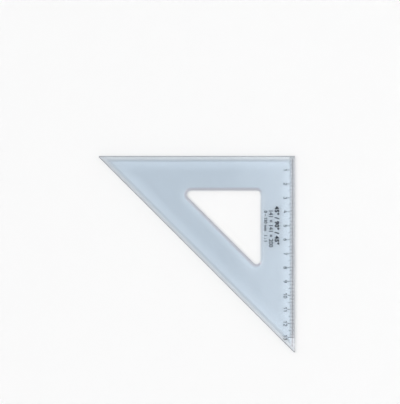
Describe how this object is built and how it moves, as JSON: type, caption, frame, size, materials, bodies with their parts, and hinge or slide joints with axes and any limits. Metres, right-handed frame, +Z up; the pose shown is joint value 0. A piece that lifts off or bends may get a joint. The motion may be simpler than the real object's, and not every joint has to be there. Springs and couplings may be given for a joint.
{
  "type": "drafting triangle",
  "caption": "Flat clear 45 degree set square with a raised inking edge all round, a triangular finger cut-out and a centimetre scale printed along one leg.",
  "frame": {"origin": "middle of the plate's box on its drawing face, which is close to the middle of the hypotenuse", "axes": "+Z up out of the printed face, +X square to the leg that carries the scale, +Y square to the other leg; the right-angle corner is at +X +Y"},
  "size_m": [0.1408, 0.1408, 0.0021],
  "materials": {
    "clear_blue_plastic": "smooth clear plastic with a pale blue tint, polished faces",
    "printing_ink": "thin dark printed ink, slightly matt"
  },
  "bodies": {
    "root": {"triangle_plate": "clear_blue_plastic", "centimetre_lines": "printing_ink", "half_centimetre_lines": "printing_ink", "millimetre_lines": "printing_ink", "scale_numerals": "printing_ink"}
  },
  "joints": []
}
